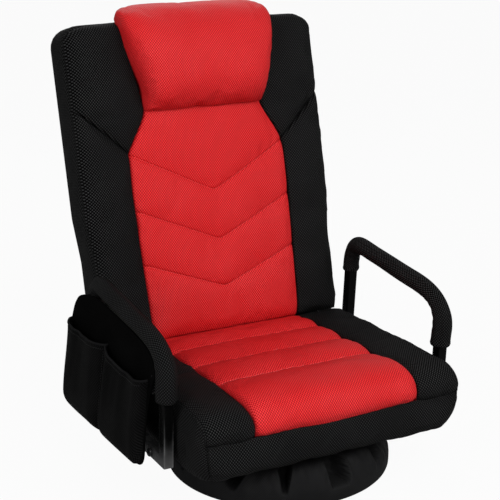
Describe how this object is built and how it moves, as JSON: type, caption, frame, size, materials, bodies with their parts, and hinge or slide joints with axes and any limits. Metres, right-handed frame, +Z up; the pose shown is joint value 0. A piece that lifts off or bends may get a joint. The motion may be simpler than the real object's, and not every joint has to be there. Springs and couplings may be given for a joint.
{
  "type": "gaming rocker chair",
  "caption": "Low swivel floor chair with a reclining high back, head pillow, channelled seat, padded arm loops and a side pouch.",
  "frame": {"origin": "on the floor under the swivel axis, at the centre of the base", "axes": "+Z up along the swivel axis, the chair faces -Y, +X is the sitter's left"},
  "size_m": [0.6298, 0.6537, 0.8271],
  "materials": {
    "red_mesh": "matte",
    "black_mesh": "matte",
    "black_cloth": "satin",
    "lining": "matte",
    "foam": "matte",
    "black_steel": "satin",
    "zinc": "satin",
    "rubber": "matte"
  },
  "bodies": {
    "base": {"base_centre_pad": "rubber", "base_cover": "black_cloth", "base_cross": "black_steel", "base_foot_1": "rubber", "base_foot_2": "rubber", "base_foot_3": "rubber", "base_foot_4": "rubber", "base_pedestal": "black_steel", "base_ring": "black_steel", "swivel_ball_ring": "zinc", "swivel_lower_plate": "black_steel", "swivel_pivot": "zinc"},
    "seat": {"arm_bolt_left_front": "zinc", "arm_bolt_left_rear": "zinc", "arm_bolt_right_front": "zinc", "arm_bolt_right_rear": "zinc", "arm_frame_left": "black_steel", "arm_frame_right": "black_steel", "arm_sleeve_left": "black_mesh", "arm_sleeve_right": "black_mesh", "arm_spacer_left_front": "black_steel", "arm_spacer_left_rear": "black_steel", "arm_spacer_right_front": "black_steel", "arm_spacer_right_rear": "black_steel", "hinge_pawl_left": "zinc", "hinge_pawl_right": "zinc", "hinge_rivet_left": "zinc", "hinge_rivet_right": "zinc", "hinge_seat_plate_left": "black_steel", "hinge_seat_plate_right": "black_steel", "pouch_back_panel": "black_cloth", "pouch_pockets": "black_cloth", "seat_boxing": "black_mesh", "seat_center_pad": "red_mesh", "seat_crossbar_front": "black_steel", "seat_crossbar_rear": "black_steel", "seat_dust_cover": "lining", "seat_foam_core": "foam", "seat_frame": "black_steel", "seat_side_pad_left": "black_mesh", "seat_side_pad_right": "black_mesh", "swivel_riser": "black_steel", "swivel_upper_plate": "black_steel"},
    "back": {"back_bolster_lower_left": "black_mesh", "back_bolster_lower_right": "black_mesh", "back_bolster_upper_left": "black_mesh", "back_bolster_upper_right": "black_mesh", "back_boxing": "black_mesh", "back_center_pad": "red_mesh", "back_crossbar_lower": "black_steel", "back_crossbar_upper": "black_steel", "back_foam_core": "foam", "back_frame": "black_steel", "back_lower_roll": "black_mesh", "back_rear_panel": "black_cloth", "headrest_pillow": "red_mesh", "hinge_back_plate_left": "black_steel", "hinge_back_plate_right": "black_steel"}
  },
  "joints": [
    {"name": "swivel", "type": "hinge", "parent": "base", "child": "seat", "pos_m": [0, 0, 0.08], "axis": [0, 0, 1], "continuous": true},
    {"name": "recline", "type": "hinge", "parent": "seat", "child": "back", "pos_m": [0, 0.2293, 0.14], "axis": [-1, 0, 0], "range_deg": [-14, 76]}
  ]
}
